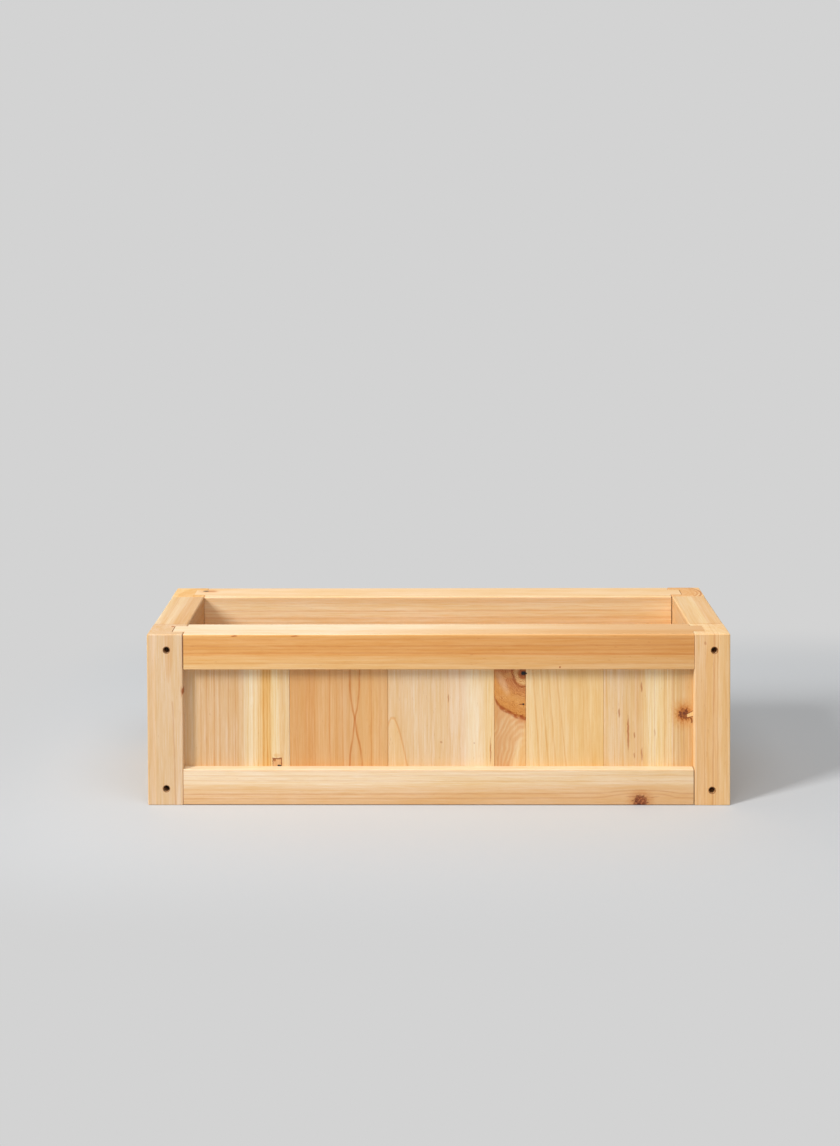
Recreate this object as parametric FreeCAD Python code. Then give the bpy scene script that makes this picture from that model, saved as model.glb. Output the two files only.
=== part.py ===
"""Wooden window box planter: four corner posts, eight rails and walls of upright staves.

Millimetres. X runs along the box, Y from front to back, Z up. The origin is on the ground
under the middle of the box, and the front wall is at -Y.

Each wall is drawn once, as it is seen from outside: its own x runs to the right, y goes in
from the outer face and z is up from the ground. stand() then turns it to its side of the box.
"""
import FreeCAD, Part
import math
import os

# --- the box -------------------------------------------------------------------------------
box_length = 622.0
box_depth = 184.0
box_height = 184.0

# --- posts and rails, all of one square stock ----------------------------------------------
stock = 38.0
post_chamfer = 0.8          # eased edges of a post
rail_round = 2.0            # upper edges of the top rails, rounded for the hands
rail_ease = 1.0             # the other long edges of a rail
rail_lift = 0.5             # the rails clear the ground, so the box stands on its posts
shoulder_gap = 0.6          # open joint line between a long rail and its posts
top_rail_shift = 0.4        # the long rails weren't pushed up evenly: the top one sits right
bottom_rail_shift = -0.4    # and the bottom one left, which opens one joint line at each level
butt_gap = 0.2              # between the end of a short rail and the posts

# --- the panel groove in rails and posts, which also takes the tongues of the long rails -----
outer_lip = 9.5             # wood left outside the groove
groove_width = 20.5
groove_depth = 13.0
tongue_play = 0.2           # beside a tongue, on each face
tongue_end_play = 0.5       # beyond the end of a tongue

# --- staves, tongued and grooved to each other -----------------------------------------------
stave_thickness = 19.0
stave_chamfer = 0.4         # eased outer edges
stave_joint_gap = 0.2       # joint line between two staves
stave_top_play = 1.0        # above a stave, in the groove of the top rail
stave_side_play = 0.5       # between the outermost stave and the post
edge_tongue_thickness = 6.0
edge_tongue_length = 6.0
edge_groove_play = 0.3
narrowest_stave = 20.0      # no narrower strip is ripped for the end of a panel

# Face widths of the boards in the order they went in, left to right. The last board of a
# panel is ripped to what is left.
front_boards = [126.0, 105.7, 114.1, 33.9, 83.5, 120.0]
back_boards = [98.0, 121.0, 76.0, 108.0, 64.0, 120.0]
right_boards = [67.0, 60.0]
left_boards = [45.0, 80.0]

# --- slatted floor on two cleats ---------------------------------------------------------------
cleat_size = 19.0
cleat_bottom = 6.0          # above the ground
cleat_end_play = 1.0
slat_width = 80.0
slat_thickness = 19.0
slat_least_gap = 9.0        # water drains between the slats
slat_end_play = 0.5

# --- screws through the posts into the ends of the short rails, sunk in counterbores ---------
counterbore_radius = 3.4
counterbore_depth = 11.0
screw_from_end = 17.0       # from the top or bottom of the post to the screw
frame_screw_length = 64.0
frame_screw_radius = 2.1
frame_head_radius = 3.1
frame_head_height = 2.4
drive_width = 2.2           # square drive recess
drive_depth = 1.6
point_length = 3.0          # of any screw's point, in shank radii

# The counterbores are drilled by eye: (right, up) from where they should be, seen from
# outside. The two top ones wandered the most.
hole_drift = {
    ("left", "top"): (1.9, 0.2),
    ("right", "top"): (2.1, -0.5),
    ("left", "bottom"): (0.8, 0.9),
    ("right", "bottom"): (-0.4, -0.7),
}

# --- screws that hold the cleats, nails in the slats, staples in the staves ------------------
cleat_screw_length = 40.0
cleat_screw_radius = 1.8
cleat_head_radius = 3.6
cleat_head_height = 2.2
cleat_screw_count = 4
cleat_screw_inset = 45.0    # from the end of the cleat to its first screw
nail_length = 34.0
nail_radius = 1.1
nail_head_radius = 2.6
nail_head_height = 1.0
nail_spread = 46.0          # between the two nails at one end of a slat
staple_crown = 6.0
staple_leg = 18.0
staple_wire = 1.1
staple_sink = 0.2           # below the face of the lip
staple_from_edge = 4.0      # from the panel's edge of the rail to the staple
driven_play = 0.05          # round a fastener in the wood
fastener_sides = 8          # flat sides that stand for the round of a screw or nail

# --- sizes that follow -------------------------------------------------------------------------
long_bay = box_length - 2 * stock
short_bay = box_depth - 2 * stock
groove_back = outer_lip + groove_width
stave_bottom = rail_lift + stock - groove_depth
stave_top = box_height - stock + groove_depth - stave_top_play
cleat_top = cleat_bottom + cleat_size
overcut = 1.0               # a cut starts this far outside the wood

WALLS = ("front", "right", "back", "left")      # a quarter turn from one to the next


def block(x_pair, y_pair, z_pair):
    """A box between two x, two y and two z values, given in any order."""
    low = [min(pair) for pair in (x_pair, y_pair, z_pair)]
    size = [abs(pair[1] - pair[0]) for pair in (x_pair, y_pair, z_pair)]
    return Part.makeBox(size[0], size[1], size[2], FreeCAD.Vector(*low))


def prism(points, bottom, top):
    """An outline in x and y, carried up from bottom to top."""
    corners = [FreeCAD.Vector(x, y, bottom) for x, y in points]
    face = Part.Face(Part.makePolygon(corners + corners[:1]))
    return face.extrude(FreeCAD.Vector(0, 0, top - bottom))


def stand(shape, side):
    """Turn a shape from its wall's own frame to its side of the box."""
    across = box_depth if side in ("front", "back") else box_length
    placed = shape.copy()
    placed.translate(FreeCAD.Vector(0, -across / 2, 0))
    placed.rotate(FreeCAD.Vector(0, 0, 0), FreeCAD.Vector(0, 0, 1), 90 * WALLS.index(side))
    return placed


def faceted(profile, point, direction):
    """A fastener turned about its axis, with flat sides.

    The profile's (radius, distance) pairs run from the rim of the head to the point, and the
    distance is along the direction that it is driven in.
    """
    turn = 2 * math.pi / fastener_sides
    angles = [turn * (number + 0.5) for number in range(fastener_sides)]
    rings = []
    for radius, distance in profile:
        corner = radius / math.cos(turn / 2)
        rings.append([FreeCAD.Vector(corner * math.cos(a), corner * math.sin(a), -distance) for a in angles])
    faces = [Part.Face(Part.makePolygon(rings[0] + rings[0][:1]))]
    for upper, lower in zip(rings, rings[1:]):
        for number in range(fastener_sides):
            after = (number + 1) % fastener_sides
            corners = [upper[number], upper[after], lower[after], lower[number]]
            if lower[number].isEqual(lower[after], 1e-7):
                corners.pop()
            faces.append(Part.Face(Part.makePolygon(corners + corners[:1])))
    solid = Part.Solid(Part.Shell(faces))
    driven = FreeCAD.Rotation(FreeCAD.Vector(0, 0, -1), FreeCAD.Vector(*direction))
    solid.Placement = FreeCAD.Placement(FreeCAD.Vector(*point), driven)
    return solid


# --- posts -----------------------------------------------------------------------------------

def post(hand):
    """A corner post of a long wall; hand is -1 for the left one and 1 for the right one."""
    inner = hand * long_bay / 2
    outer = hand * (long_bay / 2 + stock)
    solid = block((inner, outer), (0, stock), (0, box_height))
    solid = solid.makeChamfer(post_chamfer, solid.Edges)
    groove = block(
        (inner - hand * overcut, inner + hand * groove_depth),
        (outer_lip, groove_back),
        (-overcut, box_height + overcut),
    )
    return solid.cut(groove)


# --- rails -----------------------------------------------------------------------------------

def rail_bottom(level):
    return box_height - stock if level == "top" else rail_lift


def long_edges(bar, z):
    """The edges that run the length of a bar at one height."""
    edges = [edge for edge in bar.Edges if abs(edge.tangentAt(edge.FirstParameter).x) > 0.5]
    return [edge for edge in edges if abs(edge.CenterOfMass.z - z) < 1e-6]


def rail_bar(length, level):
    """A rail with rounded long edges and the panel groove, before its ends are worked."""
    base = rail_bottom(level)
    bar = block((-length / 2, length / 2), (0, stock), (base, base + stock))
    upper_radius = rail_round if level == "top" else rail_ease
    for edge_z, radius in ((base + stock, upper_radius), (base, rail_ease)):
        bar = bar.makeFillet(radius, long_edges(bar, edge_z))
    if level == "top":
        groove_z = (base - overcut, base + groove_depth)
    else:
        groove_z = (base + stock - groove_depth, base + stock + overcut)
    reach = length / 2 + overcut
    return bar.cut(block((-reach, reach), (outer_lip, groove_back), groove_z))


def long_rail(level):
    """A rail between two posts, with a tongue at each end in the groove of the post."""
    shoulder = long_bay / 2 - shoulder_gap
    tip = long_bay / 2 + groove_depth - tongue_end_play
    bar = rail_bar(2 * tip, level)
    base = rail_bottom(level)
    z_pair = (base - overcut, base + stock + overcut)
    for hand in (-1, 1):
        x_pair = (hand * shoulder, hand * (tip + overcut))
        bar = bar.cut(block(x_pair, (-overcut, outer_lip + tongue_play), z_pair))
        bar = bar.cut(block(x_pair, (groove_back - tongue_play, stock + overcut), z_pair))
    shift = top_rail_shift if level == "top" else bottom_rail_shift
    bar.translate(FreeCAD.Vector(shift, 0, 0))
    return bar


def short_rail(level):
    """A rail that butts between a front and a back post."""
    return rail_bar(short_bay - 2 * butt_gap, level)


# --- staves ----------------------------------------------------------------------------------

def board_spans(left, right, widths):
    """Lay boards from left to right until the panel is full. The last is ripped to fit."""
    spans = []
    start = left
    count = 0
    while right - start > 0:
        end = start + widths[count % len(widths)]
        if right - end < narrowest_stave:
            end = right
        spans.append((start, end))
        start = end
        count += 1
    return spans


def stave(span, first, last):
    """One stave: a groove on its left edge and a tongue on its right one, inside the panel."""
    left = span[0] if first else span[0] + stave_joint_gap / 2
    right = span[1] if last else span[1] - stave_joint_gap / 2
    face = outer_lip
    back = outer_lip + stave_thickness
    middle = (face + back) / 2
    half_tongue = edge_tongue_thickness / 2
    half_groove = half_tongue + edge_groove_play / 2
    groove_floor = left + edge_tongue_length + edge_groove_play
    outline = [(left + stave_chamfer, face), (right - stave_chamfer, face), (right, face + stave_chamfer)]
    if not last:
        tip = right + edge_tongue_length
        outline += [(right, middle - half_tongue), (tip, middle - half_tongue)]
        outline += [(tip, middle + half_tongue), (right, middle + half_tongue)]
    outline += [(right, back), (left, back)]
    if not first:
        outline += [(left, middle + half_groove), (groove_floor, middle + half_groove)]
        outline += [(groove_floor, middle - half_groove), (left, middle - half_groove)]
    outline += [(left, face + stave_chamfer)]
    return prism(outline, stave_bottom, stave_top)


def panel_spans(side):
    """Where the boards of one wall start and end."""
    if side in ("front", "back"):
        reach = long_bay / 2 + groove_depth - stave_side_play
        boards = front_boards if side == "front" else back_boards
    else:
        reach = short_bay / 2 - stave_side_play
        boards = right_boards if side == "right" else left_boards
    return board_spans(-reach, reach, boards)


# --- floor -----------------------------------------------------------------------------------

def cleat():
    """A strip along the inner face of a long bottom rail, under the ends of the slats."""
    reach = long_bay / 2 - cleat_end_play
    return block((-reach, reach), (stock, stock + cleat_size), (cleat_bottom, cleat_top))


def slat_centres():
    """Slats of one width, spread evenly along the floor with equal gaps."""
    count = int((long_bay - slat_least_gap) // (slat_width + slat_least_gap))
    gap = (long_bay - count * slat_width) / (count + 1)
    first = -long_bay / 2 + gap + slat_width / 2
    return [first + number * (slat_width + gap) for number in range(count)]


def slat(centre):
    half = short_bay / 2 - slat_end_play
    x_pair = (centre - slat_width / 2, centre + slat_width / 2)
    return block(x_pair, (-half, half), (cleat_top, cleat_top + slat_thickness))


# --- fasteners -------------------------------------------------------------------------------

def screw_profile(length, radius, head_radius, head_height):
    """Head, cone under the head, shank and point."""
    neck = (radius, head_height + head_radius - radius)
    shank_end = (radius, length - point_length * radius)
    return [(head_radius, 0), (head_radius, head_height), neck, shank_end, (0, length)]


def frame_screw_points():
    """(x, z) of the screws of one long wall, in the wall's own frame."""
    points = []
    for (hand, level), (right, up) in hole_drift.items():
        x = (long_bay + stock) / 2 * (-1 if hand == "left" else 1) + right
        z = (screw_from_end if level == "bottom" else box_height - screw_from_end) + up
        points.append((x, z))
    return points


def frame_screw(x, z):
    profile = screw_profile(frame_screw_length, frame_screw_radius, frame_head_radius, frame_head_height)
    screw = faceted(profile, (x, counterbore_depth, z), (0, 1, 0))
    half = drive_width / 2
    recess_y = (counterbore_depth - overcut, counterbore_depth + drive_depth)
    return screw.cut(block((x - half, x + half), recess_y, (z - half, z + half)))


def counterbore(x, z):
    """The hole that hides a frame screw: wide to the head, then as wide as the shank."""
    mouth = Part.makeCylinder(
        counterbore_radius,
        counterbore_depth + frame_head_height + overcut,
        FreeCAD.Vector(x, -overcut, z),
        FreeCAD.Vector(0, 1, 0),
    )
    profile = screw_profile(
        frame_screw_length + driven_play,
        frame_screw_radius + driven_play,
        frame_head_radius,
        frame_head_height,
    )
    return mouth.fuse(faceted(profile, (x, counterbore_depth, z), (0, 1, 0)))


def cleat_screw_points():
    """(x, z) of the screws along one cleat."""
    reach = long_bay / 2 - cleat_end_play - cleat_screw_inset
    step = 2 * reach / (cleat_screw_count - 1)
    middle = (cleat_bottom + cleat_top) / 2
    return [(-reach + number * step, middle) for number in range(cleat_screw_count)]


def cleat_screw(x, z, play=0.0):
    """Driven from inside, through the cleat into the rail; play makes the hole it sits in."""
    profile = screw_profile(
        cleat_screw_length + play,
        cleat_screw_radius + play,
        cleat_head_radius + play,
        cleat_head_height,
    )
    return faceted(profile, (x, stock + cleat_size, z), (0, -1, 0))


def nail(x, y, play=0.0):
    """Driven down through a slat into a cleat, its head flush with the slat."""
    radius = nail_radius + play
    head = nail_head_radius + play
    profile = [(head, 0), (head, nail_head_height), (radius, nail_head_height)]
    profile += [(radius, nail_length), (0, nail_length + radius)]
    return faceted(profile, (x, y, cleat_top + slat_thickness), (0, 0, -1))


def nail_points():
    row = short_bay / 2 - cleat_size / 2
    points = []
    for centre in slat_centres():
        for x in (centre - nail_spread / 2, centre + nail_spread / 2):
            points += [(x, -row), (x, row)]
    return points


def staple(x, z, play=0.0):
    """Driven from inside through the thin lip into a stave; its crown lies along the rail."""
    crown_face = stock - staple_sink + play
    half = staple_crown / 2 + play
    leg = staple_wire + 2 * play
    tip = crown_face - staple_leg - 2 * play
    crown = crown_face - leg
    outline = [(x - half, crown_face), (x - half, tip), (x - half + leg, tip), (x - half + leg, crown)]
    outline += [(x + half - leg, crown), (x + half - leg, tip), (x + half, tip), (x + half, crown_face)]
    return prism(outline, z - staple_wire / 2 - play, z + staple_wire / 2 + play)


def staple_slot(x, z):
    """The wood a staple pushes aside, open to the face of the lip."""
    half = staple_crown / 2 + driven_play
    z_pair = (z - staple_wire / 2 - driven_play, z + staple_wire / 2 + driven_play)
    mouth = block((x - half, x + half), (stock - staple_sink, stock), z_pair)
    return staple(x, z, driven_play).fuse(mouth)


def staple_points(side):
    """(x, z) of the staples of one wall: one in the middle of each end of each board."""
    levels = (
        rail_lift + stock - staple_from_edge,
        box_height - stock + staple_from_edge,
    )
    bay = long_bay if side in ("front", "back") else short_bay
    points = []
    for left, right in panel_spans(side):
        middle = (max(left, -bay / 2) + min(right, bay / 2)) / 2
        points += [(middle, z) for z in levels]
    return points


# --- assembly --------------------------------------------------------------------------------

def drilled(wood, cutters):
    """Take out of a piece of wood the holes that reach it."""
    reaching = [cutter for cutter in cutters if wood.BoundBox.intersect(cutter.BoundBox)]
    return wood.cut(reaching) if reaching else wood


def build_wood():
    wood = {}
    post_names = {
        ("front", -1): "post_front_left",
        ("front", 1): "post_front_right",
        ("back", -1): "post_back_right",
        ("back", 1): "post_back_left",
    }
    for (side, hand), name in post_names.items():
        wood[name] = stand(post(hand), side)
    for level in ("top", "bottom"):
        for side in ("front", "back"):
            wood[side + "_" + level + "_rail"] = stand(long_rail(level), side)
        for side in ("left", "right"):
            wood[side + "_" + level + "_rail"] = stand(short_rail(level), side)
    for side in WALLS:
        spans = panel_spans(side)
        for number, span in enumerate(spans, 1):
            piece = stave(span, number == 1, number == len(spans))
            wood[side + "_stave_" + str(number)] = stand(piece, side)
    for side in ("front", "back"):
        wood[side + "_floor_cleat"] = stand(cleat(), side)
    for number, centre in enumerate(slat_centres(), 1):
        wood["floor_slat_" + str(number)] = slat(centre)
    return wood


def build_fasteners():
    """The groups of fasteners, and the holes that they need in the wood."""
    groups = {"frame_screws": [], "cleat_screws": [], "floor_nails": [], "stave_staples": []}
    holes = []
    for side in ("front", "back"):
        for x, z in frame_screw_points():
            groups["frame_screws"].append(stand(frame_screw(x, z), side))
            holes.append(stand(counterbore(x, z), side))
        for x, z in cleat_screw_points():
            groups["cleat_screws"].append(stand(cleat_screw(x, z), side))
            holes.append(stand(cleat_screw(x, z, driven_play), side))
    for x, y in nail_points():
        groups["floor_nails"].append(nail(x, y))
        holes.append(nail(x, y, driven_play))
    for side in WALLS:
        for x, z in staple_points(side):
            groups["stave_staples"].append(stand(staple(x, z), side))
            holes.append(stand(staple_slot(x, z), side))
    return groups, holes


def main():
    os.makedirs("parts", exist_ok=True)
    groups, holes = build_fasteners()
    nodes = {name: drilled(piece, holes) for name, piece in build_wood().items()}
    for name, pieces in groups.items():
        nodes[name] = Part.makeCompound(pieces)
    for name, shape in nodes.items():
        if not shape.isValid():
            raise RuntimeError(name + " is not a valid solid")
        shape.exportStep(os.path.join("parts", name + ".step"))
        volume = sum(solid.Volume for solid in shape.Solids) / 1000.0
        print("%-20s %3d solids %9.2f cm3" % (name, len(shape.Solids), volume))


main()
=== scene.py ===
"""Wooden window box planter: the looks of the box, its studio floor, light and camera."""

import math
import random

import bpy
from mathutils import Matrix, Vector


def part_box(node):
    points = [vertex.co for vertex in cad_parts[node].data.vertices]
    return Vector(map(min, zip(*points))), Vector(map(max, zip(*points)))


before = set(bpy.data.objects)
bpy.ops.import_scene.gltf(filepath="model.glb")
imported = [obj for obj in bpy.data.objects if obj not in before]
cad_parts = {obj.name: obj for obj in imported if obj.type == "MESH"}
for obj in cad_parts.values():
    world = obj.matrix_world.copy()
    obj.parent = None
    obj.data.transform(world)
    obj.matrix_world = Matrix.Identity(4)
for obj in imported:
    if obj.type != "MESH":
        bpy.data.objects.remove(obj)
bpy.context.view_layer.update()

# The box, in millimetres. Each wall is measured as it is seen from outside: across from its
# left end, in from its outer face, and up from the ground.
BOX_LENGTH, BOX_DEPTH, BOX_HEIGHT = 622.0, 184.0, 184.0
STOCK = 38.0            # a post or rail is as wide as it is deep
STAVE_FACE = 9.5        # from a wall's outer face to its staves
FLOOR_TOP = 44.0        # the slats' upper faces
HOLE_RIM = 4.0          # radius at which the brown rim of a counterbore ends
MM_IN_METRE = 1000.0
WALLS = ("front", "right", "back", "left")

# Tints: the shares of red, green and blue that a shade is multiplied by.
DARK_DRIFT, PALE_DRIFT = (0.975, 0.94, 0.86), (1.02, 1.05, 1.12)
PALE_RING, DARK_RING = (1.01, 1.03, 1.05), (0.99, 0.965, 0.94)
DARK_FIBRE, PALE_FIBRE = (0.95, 0.84, 0.64), (1.045, 1.14, 1.35)
DARK_BAND, PALE_BAND = (-0.01, -0.05, -0.14), (0.01, 0.025, 0.06)     # added to 1, times band
LATE_WOOD, DRAWN_LINE, RESIN_DUCT = (0.90, 0.67, 0.40), (0.76, 0.50, 0.33), (0.70, 0.50, 0.36)
# On this line, the edge tint pales the arrises, partly as wear and partly as a painted highlight.
# On this line, the rim tint makes the dark ring round each counterbore and the painted shade on its
# walls.
BROWN_STREAK, HOLE_RING_AND_SHADE, EDGE_WEAR_AND_HIGHLIGHT = (0.54, 0.20, 0.06), (0.32, 0.20, 0.12), (1.10, 1.08, 1.05)
KNOT_HALO, KNOT_RING = (0.82, 0.60, 0.42), (0.60, 0.44, 0.36)
KNOT_BLOT, KNOT_CRACK = (1.7, 1.9, 1.9), (0.34, 0.20, 0.18)
RED_RING = (0.62, 0.36, 0.26)
END_GRAIN = (0.86, 0.74, 0.62)
RING_CROWDING = 1.6     # how unevenly the growth rings are spaced, in rings


def colour(red, green, blue):
    """A colour as it is read off a screen, 0 to 255, as the shaders want it."""
    shares = [value / 255 for value in (red, green, blue)]
    return [v / 12.92 if v <= 0.04045 else ((v + 0.055) / 1.055) ** 2.4 for v in shares] + [1.0]


# --- laying out shader nodes ---------------------------------------------------------------------

class Nodes:
    """Lays shader nodes into a material or a group, each call returning its result's socket."""

    def __init__(self, tree):
        self.tree = tree

    def add(self, kind, **settings):
        node = self.tree.nodes.new("ShaderNode" + kind)
        for name, value in settings.items():
            setattr(node, name, value)
        return node

    def feed(self, socket, value):
        if isinstance(value, bpy.types.NodeSocket):
            self.tree.links.new(value, socket)
        else:
            socket.default_value = value

    def math(self, operation, *values):
        node = self.add("Math", operation=operation)
        for socket, value in zip(node.inputs, values):
            self.feed(socket, value)
        return node.outputs[0]

    def plus(self, first, second):
        return self.math("ADD", first, second)

    def minus(self, first, second):
        return self.math("SUBTRACT", first, second)

    def times(self, first, *others):
        for value in others:
            first = self.math("MULTIPLY", first, value)
        return first

    def over(self, first, second):
        return self.math("DIVIDE", first, second)

    def times_plus(self, value, factor, more):
        return self.math("MULTIPLY_ADD", value, factor, more)

    def most(self, first, second):
        return self.math("MAXIMUM", first, second)

    def least(self, first, second):
        return self.math("MINIMUM", first, second)

    def size(self, value):
        return self.math("ABSOLUTE", value)

    def gap(self, first, second):
        """How far apart two values are."""
        return self.size(self.minus(first, second))

    def vector(self, operation, *values, result=0):
        node = self.add("VectorMath", operation=operation)
        for socket, value in zip(node.inputs, values):
            self.feed(socket, value)
        return node.outputs[result]

    def scaled(self, vector, across, inward, along):
        return self.vector("MULTIPLY", vector, (across, inward, along))

    def resized(self, vector, factor):
        node = self.add("VectorMath", operation="SCALE")
        self.feed(node.inputs["Vector"], vector)
        self.feed(node.inputs["Scale"], factor)
        return node.outputs[0]

    def moved(self, vector, step):
        return self.vector("ADD", vector, step)

    def apart(self, vector, origin):
        return self.vector("SUBTRACT", vector, origin)

    def length(self, vector):
        return self.vector("LENGTH", vector, result=1)

    def split(self, vector):
        node = self.add("SeparateXYZ")
        self.feed(node.inputs[0], vector)
        return node.outputs

    def joined(self, x, y, z):
        node = self.add("CombineXYZ")
        for socket, value in zip(node.inputs, (x, y, z)):
            self.feed(socket, value)
        return node.outputs[0]

    def noise(self, vector, scale=1.0, detail=2.0, roughness=0.5, result=0):
        node = self.add("TexNoise")
        self.feed(node.inputs["Vector"], vector)
        self.feed(node.inputs["Scale"], scale)
        self.feed(node.inputs["Detail"], detail)
        self.feed(node.inputs["Roughness"], roughness)
        return node.outputs[result]

    def noise_along(self, value):
        node = self.add("TexNoise", noise_dimensions="1D")
        self.feed(node.inputs["W"], value)
        self.feed(node.inputs["Scale"], 1.0)
        self.feed(node.inputs["Detail"], 1.0)
        return node.outputs[0]

    def chance(self, value):
        node = self.add("TexWhiteNoise", noise_dimensions="1D")
        self.feed(node.inputs["W"], value)
        return node.outputs["Value"]

    def ranged(self, value, low, high, to_low=0.0, to_high=1.0, smooth=True):
        kind = "SMOOTHSTEP" if smooth else "LINEAR"
        node = self.add("MapRange", interpolation_type=kind)
        for socket, number in zip(node.inputs, (value, low, high, to_low, to_high)):
            self.feed(socket, number)
        return node.outputs[0]

    def mixed(self, share, first, second, blend="MIX"):
        node = self.add("Mix", data_type="RGBA", blend_type=blend)
        for number, value in ((0, share), (6, first), (7, second)):
            tint = isinstance(value, tuple) and len(value) == 3
            self.feed(node.inputs[number], (*value, 1.0) if tint else value)
        return node.outputs[2]

    def tinted(self, shade, tint):
        """A shade multiplied by a tint."""
        return self.mixed(1.0, shade, tint, "MULTIPLY")

    def stained(self, shade, share, tint):
        """A shade that is tinted where share is 1."""
        return self.mixed(share, shade, self.tinted(shade, tint))

    def ramp(self, value, stops):
        node = self.add("ValToRGB")
        self.feed(node.inputs[0], value)
        band = node.color_ramp
        while len(band.elements) < len(stops):
            band.elements.new(0.5)
        for element, (place, shade) in zip(band.elements, stops):
            element.position = place
            element.color = shade
        return node.outputs[0]

    def curve(self, value, points):
        """A smooth curve through (value, result) points; both may be in millimetres."""
        low, high = points[0][0], points[-1][0]
        least = min(result for _, result in points)
        reach = max(result for _, result in points) - least or 1.0
        node = self.add("FloatCurve")
        line = node.mapping.curves[0]
        while len(line.points) < len(points):
            line.points.new(0.5, 0.5)
        for point, (place, result) in zip(line.points, points):
            point.location = ((place - low) / (high - low), (result - least) / reach)
        node.mapping.update()
        self.feed(node.inputs["Value"], self.ranged(value, low, high, smooth=False))
        return self.math("MULTIPLY_ADD", node.outputs[0], reach, least)

    def use(self, group, **values):
        node = self.add("Group")
        node.node_tree = group
        for name, value in values.items():
            self.feed(node.inputs[name.replace("_", " ")], value)
        return node.outputs


def new_group(name, inputs, outputs):
    """A node group; a number among the inputs makes a value socket and a tuple a vector one."""
    tree = bpy.data.node_groups.new(name, "ShaderNodeTree")
    for label, value in inputs.items():
        kind = "NodeSocketVector" if isinstance(value, tuple) else "NodeSocketFloat"
        tree.interface.new_socket(label, in_out="INPUT", socket_type=kind).default_value = value
    for label in outputs:
        kind = "NodeSocketVector" if label == "Position" else "NodeSocketFloat"
        tree.interface.new_socket(label, in_out="OUTPUT", socket_type=kind)
    nodes = Nodes(tree)
    given = nodes.tree.nodes.new("NodeGroupInput").outputs
    result = nodes.tree.nodes.new("NodeGroupOutput").inputs
    return tree, nodes, given, result


# --- what the wood does --------------------------------------------------------------------------

def make_growth_rings():
    """Growth rings about a pith: straight lines, arches or end arcs, as the board was sawn."""
    inputs = {"Position": (0.0, 0.0, 0.0), "Pith": (0.0, 0.0, 0.0), "Lean": (0.0, 0.0, 0.0),
              "Ring width": 2.5, "Wander": 2.0, "Seed": 0.0}
    tree, nodes, given, result = new_group("growth rings", inputs, ("Radius", "Line", "Ring tone"))
    shifted = nodes.moved(given["Position"], nodes.joined(0.0, 0.0, given["Seed"]))
    sway = nodes.noise(nodes.scaled(shifted, 1 / 60, 1 / 60, 1 / 170), detail=2.0, result=1)
    sway = nodes.apart(sway, (0.5, 0.5, 0.5))
    sway = nodes.resized(sway, given["Wander"])
    along = nodes.split(given["Position"])[2]
    lean = nodes.resized(given["Lean"], along)
    from_pith = nodes.apart(given["Position"], given["Pith"])
    from_pith = nodes.apart(from_pith, lean)
    from_pith = nodes.moved(from_pith, sway)
    radius = nodes.length(nodes.scaled(from_pith, 1.0, 1.0, 0.0))
    crowding = nodes.noise_along(nodes.times_plus(radius, 1 / 11, given["Seed"]))
    count = nodes.over(radius, given["Ring width"])
    count = nodes.times_plus(crowding, RING_CROWDING, count)
    number = nodes.math("FLOOR", count)
    season = nodes.math("FRACT", count)
    late = nodes.math("POWER", nodes.ranged(season, 0.2, 0.9, smooth=False), 2.4)
    stop = nodes.ranged(season, 0.91, 1.0, 1.0, 0.0)
    tone = nodes.chance(nodes.plus(number, given["Seed"]))
    weight = nodes.ranged(tone, 0.0, 1.0, 0.15, 1.0, smooth=False)
    line = nodes.times(late, stop, weight)
    nodes.feed(result["Radius"], radius)
    nodes.feed(result["Line"], line)
    nodes.feed(result["Ring tone"], tone)
    return tree


def make_fibres():
    """Fibres along the grain: fine ones, broad drifts of tone, and short dark resin ducts."""
    inputs = {"Position": (0.0, 0.0, 0.0), "Seed": 0.0}
    tree, nodes, given, result = new_group("wood fibres", inputs,
                                           ("Fine", "Bands", "Drift", "Ducts"))
    moved = nodes.moved(given["Position"],
                        nodes.joined(given["Seed"], given["Seed"], given["Seed"]))
    fine = nodes.noise(nodes.scaled(moved, 0.8, 0.8, 1 / 34), detail=4.0, roughness=0.75)
    bands = nodes.noise(nodes.scaled(moved, 0.32, 0.32, 1 / 150), detail=2.0, roughness=0.6)
    drift = nodes.noise(nodes.scaled(moved, 1 / 9, 1 / 9, 1 / 120), detail=2.0)
    ducts = nodes.noise(nodes.scaled(moved, 0.9, 0.9, 1 / 7), detail=1.0)
    nodes.feed(result["Fine"], fine)
    nodes.feed(result["Bands"], bands)
    nodes.feed(result["Drift"], drift)
    nodes.feed(result["Ducts"], nodes.ranged(ducts, 0.70, 0.80))
    return tree


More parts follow.
